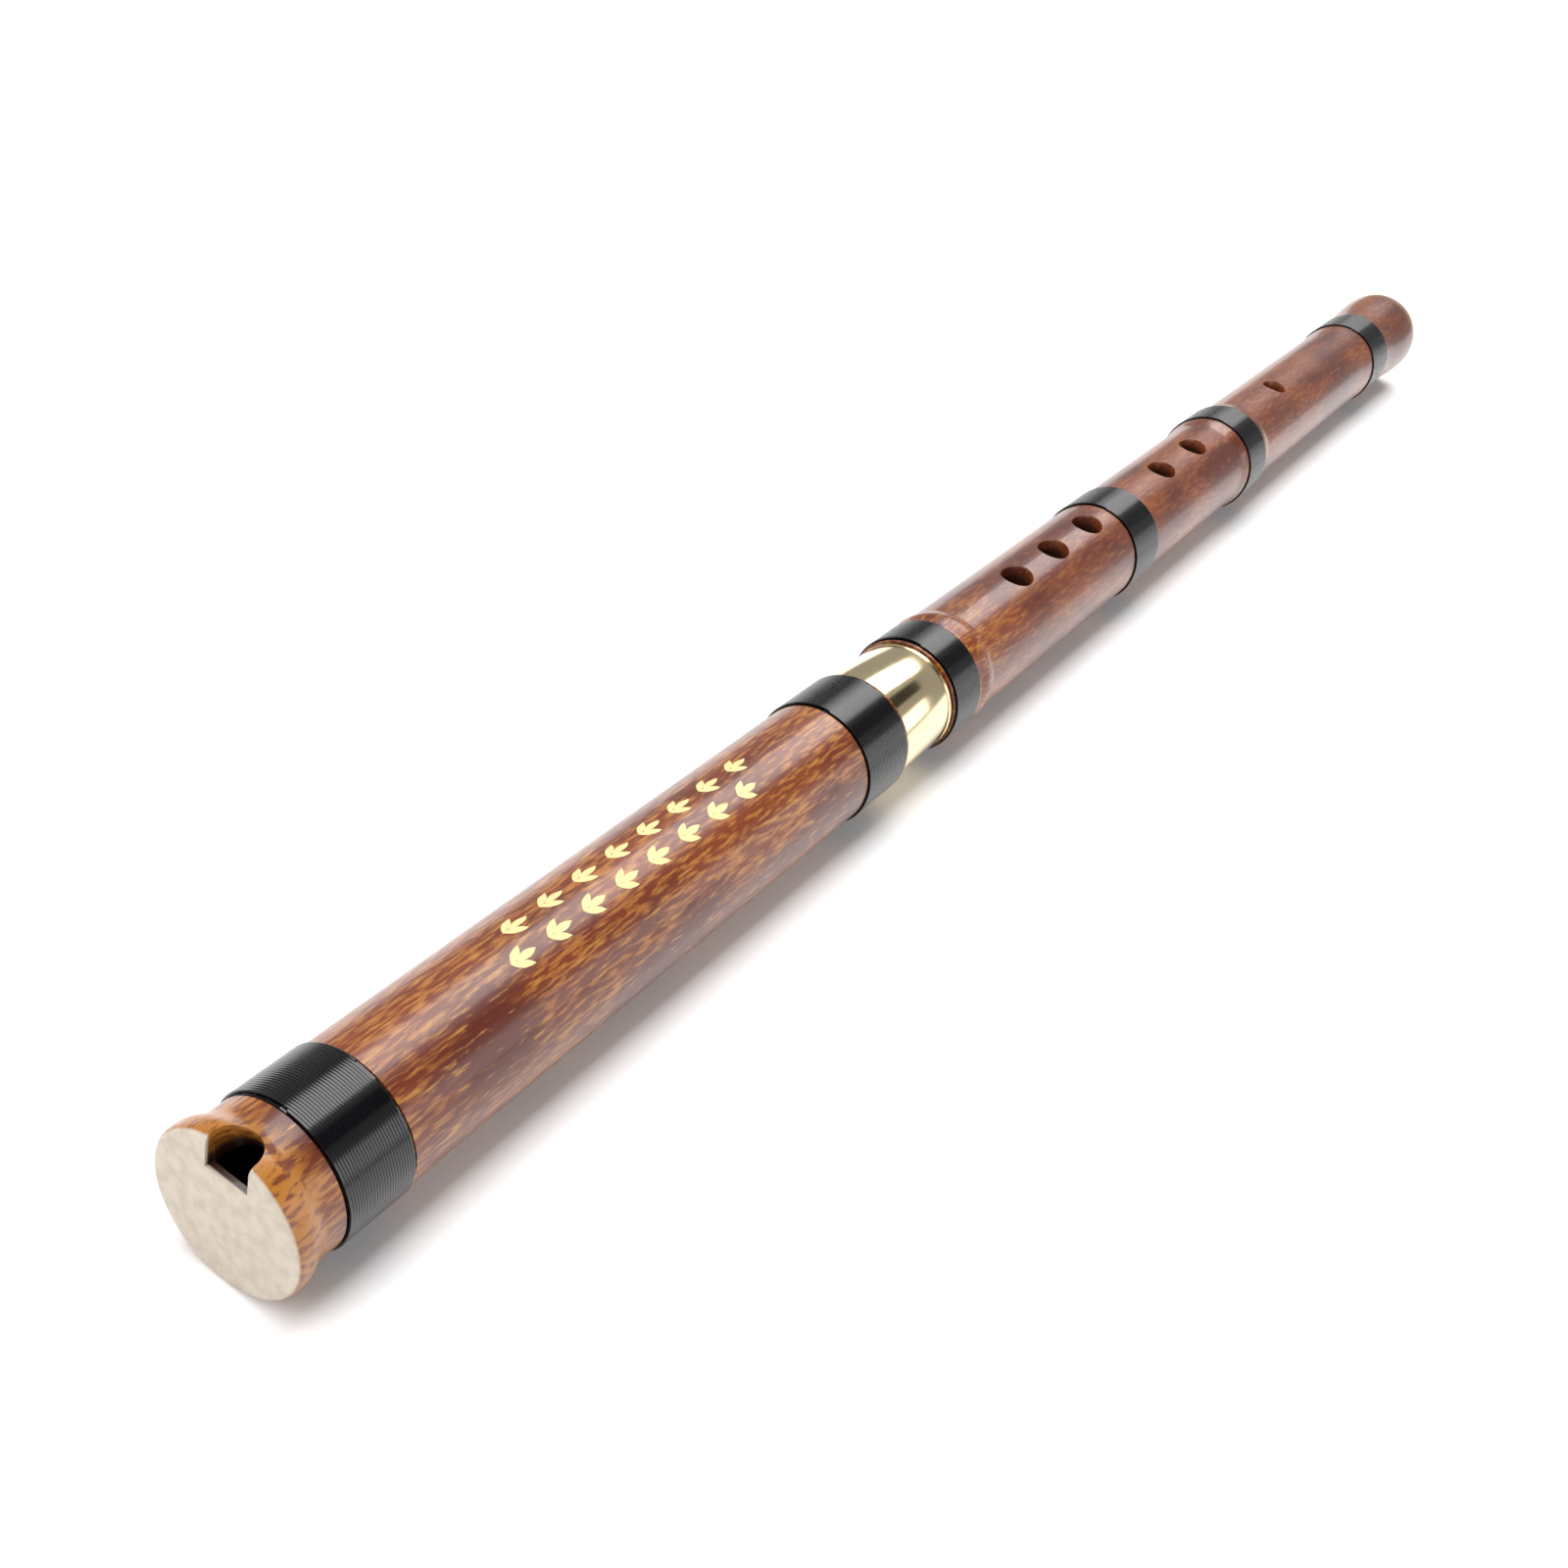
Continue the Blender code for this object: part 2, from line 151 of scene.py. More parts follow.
def carve(piece: bpy.types.Object, cutter: bpy.types.Object) -> None:
    """Cut one closed shape out of a piece and delete the cutter.

    Args:
        piece: The piece that is cut.
        cutter: The shape to remove from it.
    """
    deselect()
    bpy.context.view_layer.objects.active = piece
    piece.select_set(True)
    cut = piece.modifiers.new("cut", "BOOLEAN")
    cut.operation = "DIFFERENCE"
    cut.solver = "EXACT"
    cut.object = cutter
    bpy.ops.object.modifier_apply(modifier=cut.name)
    bpy.data.objects.remove(cutter, do_unlink=True)
    bpy.ops.object.shade_smooth_by_angle(angle=SMOOTH_ANGLE)


def ease(x0: float, r0: float, x1: float, r1: float, steps: int = 10) -> Outline:
    """Points of a smooth change of radius between two places, without the first.

    Args:
        x0: Where it starts.
        r0: The radius there.
        x1: Where it ends.
        r1: The radius there.
        steps: How many points it gets.

    Returns:
        The points.
    """
    points = []
    for i in range(1, steps + 1):
        share = i / steps
        rise = 0.5 - 0.5 * math.cos(math.pi * share)
        points.append((x0 + (x1 - x0) * share, r0 + (r1 - r0) * rise))
    return points


def rounded(x: float, radius: float, size: float, towards: int, steps: int = 8) -> Outline:
    """Points of a rounded outer edge, from the end face at x out to the full radius.

    Args:
        x: Where the end face is.
        radius: The full radius.
        size: The rounding's radius.
        towards: 1 where the piece lies on the +X side of the face, else -1.
        steps: How many faces the rounding has.

    Returns:
        The points.
    """
    angles = [math.pi / 2 * i / steps for i in range(steps + 1)]
    return [
        (x + towards * size * (1 - math.cos(a)), radius - size * (1 - math.sin(a))) for a in angles
    ]


def select_end(piece: bpy.types.Object, side: int) -> None:
    """Select the faces at one end of an upright piece in edit mode, and nothing else.

    Args:
        piece: The piece, which is in edit mode.
        side: 1 for its top, -1 for its bottom.
    """
    bpy.ops.mesh.select_all(action="DESELECT")
    bpy.ops.object.mode_set(mode="OBJECT")
    for face in piece.data.polygons:
        face.select = face.normal.z * side > 0.9
    bpy.ops.object.mode_set(mode="EDIT")


# Finishes


class Nodes:
    """A material's node tree, with short ways to add and join its nodes."""

    def __init__(self, name: str) -> None:
        """Start a material with a Principled shader."""
        self.material = bpy.data.materials.new(name)
        self.material.use_nodes = True
        self.tree = self.material.node_tree
        self.shader = self.tree.nodes["Principled BSDF"]

    def add(self, kind: str, **settings: object) -> bpy.types.Node:
        """Add a node of a kind and set its properties."""
        node = self.tree.nodes.new(kind)
        for name, value in settings.items():
            setattr(node, name, value)
        return node

    def feed(self, socket: bpy.types.NodeSocket, value: object) -> None:
        """Join a socket to another one, or set its value."""
        if isinstance(value, bpy.types.NodeSocket):
            self.tree.links.new(value, socket)
        else:
            socket.default_value = value

    def math(self, operation: str, a: object, b: object = 0.0) -> bpy.types.NodeSocket:
        """The result of a math node on two values."""
        node = self.add("ShaderNodeMath", operation=operation)
        self.feed(node.inputs[0], a)
        self.feed(node.inputs[1], b)
        return node.outputs[0]

    def times(self, a: object, b: object) -> bpy.types.NodeSocket:
        """The product of two values."""
        return self.math("MULTIPLY", a, b)

    def outside(self, mask: object) -> bpy.types.NodeSocket:
        """The rest of a mask: 1 where it is 0, and 0 where it is 1."""
        return self.math("SUBTRACT", 1.0, mask)

    def ramp(self, value: bpy.types.NodeSocket, low: float, high: float) -> bpy.types.NodeSocket:
        """A smooth mask that goes from 0 at low to 1 at high."""
        node = self.add("ShaderNodeMapRange", interpolation_type="SMOOTHSTEP")
        self.feed(node.inputs["Value"], value)
        self.feed(node.inputs["From Min"], low)
        self.feed(node.inputs["From Max"], high)
        return node.outputs["Result"]

    def mix(self, share: object, first: object, second: object) -> bpy.types.NodeSocket:
        """A colour between two colours."""
        node = self.add("ShaderNodeMix", data_type="RGBA")
        self.feed(node.inputs["Factor"], share)
        colours = [socket for socket in node.inputs if socket.type == "RGBA"]
        for socket, colour in zip(colours, (first, second)):
            self.feed(socket, (*colour, 1.0) if isinstance(colour, tuple) else colour)
        return next(socket for socket in node.outputs if socket.type == "RGBA")

    def noise(
        self, where: bpy.types.NodeSocket, scale: Scale, detail: float = 3.0
    ) -> bpy.types.NodeSocket:
        """A noise in the piece's own coordinates, stretched by a scale for each direction."""
        mapping = self.add("ShaderNodeMapping")
        self.feed(mapping.inputs["Vector"], where)
        mapping.inputs["Scale"].default_value = scale
        node = self.add("ShaderNodeTexNoise")
        self.feed(node.inputs["Vector"], mapping.outputs["Vector"])
        node.inputs["Scale"].default_value = 1.0
        node.inputs["Detail"].default_value = detail
        return node.outputs["Fac"]


@dataclass(frozen=True)
class MottledBamboo:
    """Dark red-brown bamboo with amber flecks along the grain, pale where the culm was cut, with a painted
    sheen on the last millimetres of the foot, and dark in the bore, the notch and the holes, partly lacquer
    and partly painted shade.

    A scale says how closely a noise lies in each direction, and a span where a mask begins and
    where it is full.
    """

    ground: Colour = (0.17, 0.034, 0.008)
    maroon: Colour = (0.085, 0.012, 0.005)
    amber: Colour = (0.32, 0.115, 0.022)
    gold: Colour = (0.40, 0.20, 0.04)
    rim: Colour = (0.36, 0.135, 0.016)
    # Pale tan of the cut foot end, also laid over the last millimetres of the outside as a painted sheen.
    cut_end_and_sheen: Colour = (0.46, 0.33, 0.18)
    face: Colour = (0.57, 0.49, 0.40)
    # Dark bore colour: partly the bore's lacquer, partly painted shade that reaches into the notch and hole
    # walls.
    inside: Colour = (0.03, 0.010, 0.006)
    patch_scale: Scale = (28, 90, 90)
    fleck_scale: Scale = (240, 1500, 1500)
    broad_scale: Scale = (18, 60, 60)
    grain_scale: Scale = (70, 3200, 3200)
    streak_scale: Scale = (260, 900, 900)
    face_scale: Scale = (600, 420, 420)
    ground_span: Span = (0.38, 0.66)
    patch_span: Span = (0.34, 0.60)
    fleck_span: Span = (0.44, 0.60)
    gold_span: Span = (0.58, 0.72)
    broad_span: Span = (0.56, 0.74)
    grain_span: Span = (0.52, 0.74)
    streak_span: Span = (0.47, 0.57)
    shade_span: Span = (0.35, 0.70)
    plain_span: Span = (-0.09, -0.03)
    rim_span: Span = (FACE_X + 4 * MM, FACE_X + 10.5 * MM)
    face_span: Span = (FACE_X + 0.25 * MM, FACE_X + 0.7 * MM)
    foot_span: Span = (FOOT_X - 7 * MM, FOOT_X - 0.3 * MM)
    bore_lacquer_and_shade_span: Span = (9.5 * MM, 12.4 * MM)
    wall_span: Span = (7.9 * MM, 8.3 * MM)
    plain_share: float = 0.6
    gold_share: float = 0.75
    broad_share: float = 0.45
    grain_share: float = 0.35
    streak_share: float = 0.85
    foot_share: float = 0.9
    face_shade: float = 0.82
    roughness: float = 0.34
    face_roughness: float = 0.25
    coat: float = 0.3
    coat_roughness: float = 0.08
    bump_strength: float = 0.25
    bump_depth: float = 0.05 * MM

    def distance_from_axis(self, n: Nodes, split: bpy.types.Node) -> bpy.types.NodeSocket:
        """How far a point of the culm lies from the flute's axis."""
        across = split.outputs["Y"]
        height = n.math("SUBTRACT", split.outputs["Z"], AXIS_Z)
        return n.math("SQRT", n.math("ADD", n.times(across, across), n.times(height, height)))

    def skin(
        self,
        n: Nodes,
        where: bpy.types.NodeSocket,
        along: bpy.types.NodeSocket,
        grain: bpy.types.NodeSocket,
    ) -> bpy.types.NodeSocket:
        """The colour of the culm's skin, plainer and redder from the joint on.

        Args:
            n: The material's nodes.
            where: The place in the piece's own coordinates.
            along: The place along the flute.
            grain: The fine grain's noise.

        Returns:
            The colour.
        """
        patches = n.noise(where, self.patch_scale, 3)
        flecks = n.noise(where, self.fleck_scale, 3)
        broad = n.noise(where, self.broad_scale, 2)
        mottled = n.outside(n.times(n.ramp(along, *self.plain_span), self.plain_share))
        in_patch = n.times(n.ramp(flecks, *self.fleck_span), n.ramp(patches, *self.patch_span))
        golden = n.times(n.ramp(flecks, *self.gold_span), n.times(mottled, self.gold_share))
        colour = n.mix(n.ramp(patches, *self.ground_span), self.maroon, self.ground)
        colour = n.mix(n.times(in_patch, mottled), colour, self.amber)
        colour = n.mix(golden, colour, self.gold)
        colour = n.mix(n.times(n.ramp(broad, *self.broad_span), self.broad_share), colour, self.amber)
        return n.mix(n.times(n.ramp(grain, *self.grain_span), self.grain_share), colour, self.maroon)

    def blowing_rim(
        self, n: Nodes, where: bpy.types.NodeSocket, along: bpy.types.NodeSocket
    ) -> bpy.types.NodeSocket:
        """A mask of the ochre rim at the blowing end, with the skin's streaks left in it."""
        streaks = n.ramp(n.noise(where, self.streak_scale, 3), *self.streak_span)
        near_end = n.outside(n.ramp(along, *self.rim_span))
        return n.times(near_end, n.outside(n.times(streaks, self.streak_share)))

    def ground_face(self, n: Nodes, where: bpy.types.NodeSocket) -> bpy.types.NodeSocket:
        """The colour of the pale closed end, a little clouded."""
        clouds = n.ramp(n.noise(where, self.face_scale, 4), *self.shade_span)
        return n.mix(clouds, self.face, tuple(self.face_shade * part for part in self.face))

    def build(self) -> bpy.types.Material:
        """The finish as a material."""
        n = Nodes("mottled_bamboo")
        where = n.add("ShaderNodeTexCoord").outputs["Object"]
        split = n.add("ShaderNodeSeparateXYZ")
        n.feed(split.inputs[0], where)
        along = split.outputs["X"]
        radius = self.distance_from_axis(n, split)
        grain = n.noise(where, self.grain_scale, 2)
        near_face = n.outside(n.ramp(along, *self.face_span))
        # The foot's end face and its last 7 mm outside are lightened: the raw cut end plus a painted sheen.
        foot_end_and_sheen = n.times(n.ramp(along, *self.foot_span), n.ramp(radius, *self.wall_span))
        colour = self.skin(n, where, along, grain)
        colour = n.mix(self.blowing_rim(n, where, along), colour, self.rim)
        # Darken the bore, the notch and the hole walls: partly the bore's lacquer, partly painted shade.
        colour = n.mix(n.outside(n.ramp(radius, *self.bore_lacquer_and_shade_span)), colour, self.inside)
        colour = n.mix(n.times(foot_end_and_sheen, self.foot_share), colour, self.cut_end_and_sheen)
        colour = n.mix(near_face, colour, self.ground_face(n, where))
        n.feed(n.shader.inputs["Base Color"], colour)
        rough = n.math("ADD", self.roughness, n.times(near_face, self.face_roughness))
        n.feed(n.shader.inputs["Roughness"], rough)
        n.shader.inputs["Coat Roughness"].default_value = self.coat_roughness
        n.feed(n.shader.inputs["Coat Weight"], n.times(n.outside(near_face), self.coat))
        bump = n.add("ShaderNodeBump")
        bump.inputs["Strength"].default_value = self.bump_strength
        bump.inputs["Distance"].default_value = self.bump_depth
        n.feed(bump.inputs["Height"], grain)
        n.feed(n.shader.inputs["Normal"], bump.outputs["Normal"])
        return n.material


@dataclass(frozen=True)
class PlainFinish:
    """A finish with one colour all over."""

    name: str
    colour: Colour
    roughness: float
    metallic: float = 0.0
    coat: float = 0.0
    coat_roughness: float = 0.06

    def build(self) -> bpy.types.Material:
        """The finish as a material."""
        n = Nodes(self.name)
        n.shader.inputs["Base Color"].default_value = (*self.colour, 1.0)
        n.shader.inputs["Roughness"].default_value = self.roughness
        n.shader.inputs["Metallic"].default_value = self.metallic
        n.shader.inputs["Coat Weight"].default_value = self.coat
        n.shader.inputs["Coat Roughness"].default_value = self.coat_roughness
        return n.material


LACQUER = PlainFinish("lacquered_thread", (0.0015, 0.0015, 0.0025), 0.14, coat=0.3)
BRASS = PlainFinish("polished_brass", (0.90, 0.74, 0.46), 0.14, metallic=1.0)
GOLD = PlainFinish("gold_ink", (0.72, 0.56, 0.26), 0.5)


# The flute's sections


@dataclass
class Lashing:
    """One lashing of fine thread under lacquer, wound over its bed."""

    name: str
    section: Section
    finish: bpy.types.Material
    height: float = 0.5 * MM
    bed_gap: float = 0.05 * MM
    spacing: float = 0.52 * MM
    groove: float = 0.02 * MM
    rounding: float = 0.13 * MM
    steps: int = 72

    def strand(self, start: float, radius: float) -> bpy.types.Object:
        """The thread's section at its first place: flat under the lacquer, with rounded shoulders.

        Args:
            start: Where the strand's middle is along the flute.
            radius: How far its middle lies from the axis.

        Returns:
            The open outline, as a piece of its own.
        """
        deselect()
        bpy.ops.mesh.primitive_plane_add(size=1, rotation=(math.pi / 2, 0, 0))
        piece = current(f"{self.name}_thread")
        piece.scale = (self.spacing - self.groove, self.height, 1)
        settle_transform()
        for vertex in piece.data.vertices:
            vertex.select = vertex.co.z > 0
        bpy.ops.object.mode_set(mode="EDIT")
        bpy.ops.mesh.bevel(offset=self.rounding, segments=3, affect="VERTICES")
        bpy.ops.mesh.select_all(action="SELECT")
        bpy.ops.mesh.delete(type="ONLY_FACE")
        bpy.ops.mesh.select_all(action="SELECT")
        bpy.ops.transform.translate(value=(start, 0, radius))
        bpy.ops.object.mode_set(mode="OBJECT")
        return piece

    def build(self) -> bpy.types.Object:
        """Wind the thread over the lashing's width and hide the wide turns of the model."""
        node = f"{self.name}_lashing_turns"
        low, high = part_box(f"{self.name}_lashing_bed")
        radius = (high.z - low.z) / 2 + self.bed_gap + self.height / 2
        turns = int((high.x - low.x) / self.spacing) - 1
        piece = self.strand(low.x + self.spacing / 2, radius)
        piece.location.z = AXIS_Z
        winding = piece.modifiers.new("winding", "SCREW")
        winding.axis = "X"
        winding.screw_offset = (high.x - low.x - self.spacing) / turns
        winding.iterations = turns
        winding.steps = winding.render_steps = self.steps
        bpy.ops.object.modifier_apply(modifier=winding.name)
        settle_transform()
        bpy.ops.object.mode_set(mode="EDIT")
        tidy_mesh()
        bpy.ops.object.shade_smooth_by_angle(angle=SMOOTH_ANGLE)
        piece.data.materials.append(self.finish)
        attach(piece, self.section.value)
        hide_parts(node)
        return piece


@dataclass
class HeadCulm:
    """The upper culm with its closed end, blowing notch and two lashing seats."""

    finish: bpy.types.Material
    body: float = 13.25 * MM
    bore: float = 8.0 * MM
    septum: float = 1.5 * MM
    rim_rounding: float = 1.3 * MM
    rim_land: float = 1.2 * MM
    flare_end: float = 7.0 * MM
    seat_depth: float = 0.6 * MM
    seat_gap: float = 0.3 * MM
    notch_half_width: float = 4.1 * MM
    notch_depth: float = 5.2 * MM
    notch_lean: float = 3.36 * MM
    notch_floor: float = 7.7 * MM
    notch_undercut: float = 2.3 * MM
    notch_rise: float = 6 * MM
    slot_length: float = 5.5 * MM
    slot_height: float = 11 * MM
    slot_overlap: float = 0.1 * MM
    relief: float = 0.12 * MM
    relief_rings: tuple[tuple[float, float], ...] = ((7.3, 0.9), (3.8, 0.5))
    face_radius: float = 13.2 * MM
    face_steps: int = 40
    middle: float = 0.3 * MM
    spigot_wall: float = 1.5 * MM
    spigot_stop: float = 1.3 * MM

    def end_face(self) -> Outline:
        """The closed end's face from its middle outwards, with its shallow rings."""
        points = [(FACE_X, self.middle)]
        for i in range(1, self.face_steps):
            radius = self.face_radius * i / self.face_steps
            wave = 0.0
            for place, spread in self.relief_rings:
                wave += math.exp(-((radius / MM - place) ** 2) / spread)
            points.append((FACE_X + self.relief * wave, radius))
        return points

    def outline(self) -> Outline:
        """The culm's wall from the middle of its end face round to the middle of the septum's inside."""
        x = FACE_X
        points = self.end_face()
        points += rounded(x, RIM_RADIUS, self.rim_rounding, 1)
        flare = x + self.rim_rounding + self.rim_land
        points += [(flare, RIM_RADIUS)] + ease(flare, RIM_RADIUS, x + self.flare_end, self.body)
        floor = self.body - self.seat_depth
        for name in HEAD_LASHINGS:
            low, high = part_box(f"{name}_lashing_bed")
            start, end = low.x - self.seat_gap, high.x + self.seat_gap
            points += [(start, self.body), (start, floor), (end, floor), (end, self.body)]
        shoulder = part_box("socket_ferrule")[0].x - self.seat_gap
        liner_low, liner_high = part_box("socket_liner")
        spigot = (liner_high.z - liner_low.z) / 2
        socket = spigot - self.spigot_wall
        spigot_end = liner_high.x - self.spigot_stop
        points += [(shoulder, self.body), (shoulder, spigot), (spigot_end, spigot), (spigot_end, socket)]
        socket_floor = liner_low.x - self.seat_gap
        points += [(socket_floor, socket), (socket_floor, self.bore)]
        points += [(x + self.septum, self.bore), (x + self.septum, self.middle)]
        return points

    def notch_front(self) -> bpy.types.Object:
        """The straight part of the notch's cutter, which runs out through the end face."""
        deselect()
        back = FACE_X + self.septum + self.slot_overlap
        bpy.ops.mesh.primitive_cube_add(
            size=1,
            location=(back - self.slot_length / 2, 0, AXIS_Z + self.notch_floor + self.slot_height / 2),
            scale=(self.slot_length, 2 * self.notch_half_width, self.slot_height),
        )
        cutter = current("notch_front")
        settle_transform()
        return cutter

    def notch_back(self) -> bpy.types.Object:
        """The rounded part of the notch's cutter, whose far wall leans in under the culm."""
        deselect()
        top, bottom = self.body, self.notch_floor - self.notch_undercut
        bpy.ops.mesh.primitive_cylinder_add(
            vertices=64,
            radius=self.notch_half_width,
            depth=top - bottom,
            location=(FACE_X + self.notch_depth - self.notch_half_width, 0, AXIS_Z + (top + bottom) / 2),
        )
        cutter = current("notch_back")
        settle_transform()
        bpy.ops.object.mode_set(mode="EDIT")
        select_end(cutter, -1)
        bpy.ops.transform.translate(value=(self.notch_lean, 0, 0))
        select_end(cutter, 1)
        bpy.ops.mesh.extrude_region_move(TRANSFORM_OT_translate={"value": (0, 0, self.notch_rise)})
        bpy.ops.mesh.select_all(action="SELECT")
        bpy.ops.mesh.bisect(
            plane_co=(FACE_X + self.septum, 0, 0), plane_no=(1, 0, 0), use_fill=True, clear_inner=True
        )
        tidy_mesh()
        return cutter

    def build(self) -> bpy.types.Object:
        """Turn the culm, cut its notch and dress it."""
        piece = turn("head_culm", self.outline())
        carve(piece, self.notch_front())
        carve(piece, self.notch_back())
        piece.data.materials.append(self.finish)
        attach(piece, Section.HEAD.value)
        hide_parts("head_tube")
        return piece


@dataclass
class LeafSprigs:
    """A plain gold ornament on the head section: two staggered rows of sprigs with three leaves."""

    culm: bpy.types.Object
    finish: bpy.types.Material
    start: float = 56 * MM
    pitch: float = 9.2 * MM
    sprigs: int = 8
    leaf_length: float = 4.6 * MM
    leaf_width: float = 1.625 * MM
    blunt_tip: float = 0.02
    middle_leaf: float = 1.4 * MM
    lift: float = 2 * MM
    spread: float = math.radians(32)
    rows: tuple[float, float] = (-11.0, 14.0)
    stand_off: float = 0.03 * MM

    def leaf(self, x: float, row: float, lean: float) -> bpy.types.Object:
        """One flat leaf, held just above the culm.

        Args:
            x: Where it is along the flute.
            row: Its turn about the axis from the top line, in degrees.
            lean: How far it leans from the flute's direction, in radians.

        Returns:
            The leaf.
        """
        deselect()
        bpy.ops.mesh.primitive_circle_add(vertices=20, radius=0.5, fill_type="TRIFAN")
        leaf = current("leaf")
        for vertex in leaf.data.vertices:
            taper = math.sqrt(max(0.0, 1 - (2 * vertex.co.x) ** 2))
            vertex.co.y *= taper + self.blunt_tip
        leaf.scale = (self.leaf_length, self.leaf_width, 1)
        settle_transform()
        angle = math.radians(row)
        out = HeadCulm.body + self.lift
        offset = Matrix.Translation((self.leaf_length / 2, 0, 0))
        place = Matrix.Translation((x, 0, AXIS_Z)) @ Matrix.Rotation(-angle, 4, "X")
        leaf.matrix_world = place @ Matrix.Translation((0, 0, out)) @ Matrix.Rotation(lean, 4, "Z") @ offset
        settle_transform()
        return leaf

    def build(self) -> bpy.types.Object:
        """Lay all the leaves on the culm as one piece with a little thickness."""
        leaves = []
        for index, row in enumerate(self.rows):
            for i in range(self.sprigs):
                x = FACE_X + self.start + self.pitch * (i + 0.5 * index)
                leaves += [self.leaf(x, row, lean) for lean in (self.spread, -self.spread)]
                leaves.append(self.leaf(x + self.middle_leaf, row, 0.0))
        deselect()
        for leaf in leaves:
            leaf.select_set(True)
        bpy.context.view_layer.objects.active = leaves[0]
        bpy.ops.object.join()
        piece = current("gold_sprigs")
        wrap = piece.modifiers.new("wrap", "SHRINKWRAP")
        wrap.target = self.culm
        wrap.wrap_method = "NEAREST_SURFACEPOINT"
        wrap.wrap_mode = "ABOVE_SURFACE"
        wrap.offset = self.stand_off
        bpy.ops.object.modifier_apply(modifier=wrap.name)
        wall = piece.modifiers.new("wall", "SOLIDIFY")
        wall.thickness = self.stand_off
        wall.offset = 0
        bpy.ops.object.modifier_apply(modifier=wall.name)
        bpy.ops.object.shade_smooth_by_angle(angle=SMOOTH_ANGLE)
        piece.data.materials.append(self.finish)
        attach(piece, Section.HEAD.value)
        return piece


@dataclass
class FootCulm:
    """The lower culm with its finger holes, thumb hole, vents, two nodes and flared foot."""

    finish: bpy.types.Material
    body: float = 13.1 * MM
    bore: float = 8.0 * MM
    root_bore: float = 9.35 * MM
    seat_depth: float = 0.6 * MM
    seat_gap: float = 0.3 * MM
    upper_node: float = 0.55 * MM
    lower_node: float = 0.65 * MM
    swell: float = 0.35 * MM
    hole_length: float = 9.2 * MM
    hole_width: float = 7.6 * MM
    vent: float = 7.0 * MM
    first_hole: float = 50.9 * MM
    upper_pitch: float = 20.4 * MM
    group_gap: float = 50.3 * MM
    lower_pitch: float = 23.5 * MM
    thumb_offset: float = 17.0 * MM
    vent_offset: float = 131.0 * MM
    drill_depth: float = 16 * MM
    countersink: float = 0.88 * MM
    countersink_depth: float = 2.4 * MM
    countersink_floor: float = 0.9 * MM
    ridge_length: float = 7.5 * MM
    node_run: float = 6 * MM
    swell_run: float = 14 * MM
    foot_rounding: float = 2.6 * MM
    foot_land: float = 4.0 * MM
    flare_length: float = 23.6 * MM
    end_bevel: float = 0.5 * MM

    def seam(self) -> float:
        """Where the joint's seam is, which the holes are measured from."""
        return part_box("socket_ferrule")[1].x

    def front_holes(self) -> list[float]:
        """Places of the five finger holes along the flute."""
        first = self.seam() + self.first_hole
        upper = [first + i * self.upper_pitch for i in range(3)]
        return upper + [upper[-1] + self.group_gap + i * self.lower_pitch for i in range(2)]

    def seat(self, name: str, radius: float) -> Outline:
        """The groove that a lashing lies in."""
        low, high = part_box(f"{name}_lashing_bed")
        start, end = low.x - self.seat_gap, high.x + self.seat_gap
        floor = radius - self.seat_depth
        return [(start, radius), (start, floor), (end, floor), (end, radius)]

    def outline(self) -> Outline:
        """The culm's wall from its upper end, over the outside, and back through the bore."""
        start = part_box("foot_tube")[0].x
        points = [(start, self.root_bore), (start, self.body)]
        points += self.seat("tenon", self.body)
        ridge = points[-1][0]
        top = self.body + self.upper_node
        points += ease(ridge, self.body, ridge + self.ridge_length / 2, top)
        points += ease(ridge + self.ridge_length / 2, top, ridge + self.ridge_length, self.body)
        points += self.seat("middle", self.body)
        shoulder = self.body + self.lower_node
        groove = self.seat("lower", shoulder)
        rise = groove[0][0] - self.node_run
        points += [(rise, self.body)] + ease(rise, self.body, groove[0][0], shoulder)[:-1] + groove
        points += ease(groove[-1][0], shoulder, groove[-1][0] + self.node_run, self.body)
        swollen = self.body + self.swell
        groove = self.seat("foot", swollen)
        rise = groove[0][0] - self.swell_run
        points += [(rise, self.body)] + ease(rise, self.body, groove[0][0], swollen)[:-1] + groove
        land = FOOT_X - self.foot_rounding - self.foot_land
        flare = land - self.flare_length
        points += [(flare, swollen)] + ease(flare, swollen, land, RIM_RADIUS)
        points += rounded(FOOT_X, RIM_RADIUS, self.foot_rounding, -1)[::-1]
        points += [(FOOT_X, self.bore + self.end_bevel), (FOOT_X - self.end_bevel, self.bore)]
        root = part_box("tenon_tube")[1].x + self.seat_gap
        points += [(root, self.bore), (root, self.root_bore), (start, self.root_bore)]
        return points

    def drill(self, piece: bpy.types.Object, x: float, size: tuple[float, float], side: int) -> None:
        """Cut an oval hole into the bore from one side, and ease its edge.

        Args:
            piece: The culm.
            x: Where the hole is along the flute.
            size: Its length along the flute and its width.
            side: 1 for the front, -1 for the back.
        """
        deselect()
        bpy.ops.mesh.primitive_cylinder_add(
            vertices=64,
            radius=0.5,
            depth=self.drill_depth,
            location=(x, 0, AXIS_Z + side * self.drill_depth / 2),
            scale=(*size, 1),
        )
        cutter = current("hole")
        settle_transform()
        carve(piece, cutter)
        deselect()
        wide = [s + 2 * self.countersink for s in size]
        narrow = min(size) / wide[1] * 0.5
        radii = (narrow, 0.5) if side > 0 else (0.5, narrow)
        out = self.body - self.countersink_floor + self.countersink_depth / 2
        bpy.ops.mesh.primitive_cone_add(
            vertices=64,
            radius1=radii[0],
            radius2=radii[1],
            depth=self.countersink_depth,
            location=(x, 0, AXIS_Z + side * out),
            scale=(*wide, 1),
        )
        cutter = current("countersink")
        settle_transform()
        carve(piece, cutter)

